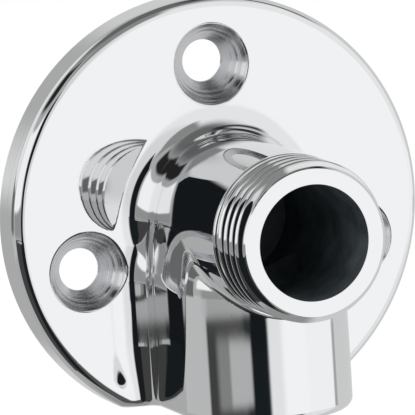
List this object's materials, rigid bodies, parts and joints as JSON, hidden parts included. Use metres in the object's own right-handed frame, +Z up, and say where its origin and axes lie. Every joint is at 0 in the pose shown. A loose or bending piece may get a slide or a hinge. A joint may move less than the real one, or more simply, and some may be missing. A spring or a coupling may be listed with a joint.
{
  "type": "wall outlet elbow",
  "caption": "Wall elbow in one piece: round plate with countersunk screw holes, threaded outlet in its middle and an inlet leg to a flat end below.",
  "frame": {"origin": "where the outlet's axis meets the wall, on the flat pad in the middle of the plate's back", "axes": "-Y along the outlet, away from the wall; +Z up; +X to the right, seen from the front"},
  "size_m": [0.0574, 0.0374, 0.0533],
  "materials": {
    "chrome": "polished chrome plate on cast brass"
  },
  "bodies": {
    "root": {"elbow_body": "chrome"}
  },
  "joints": []
}
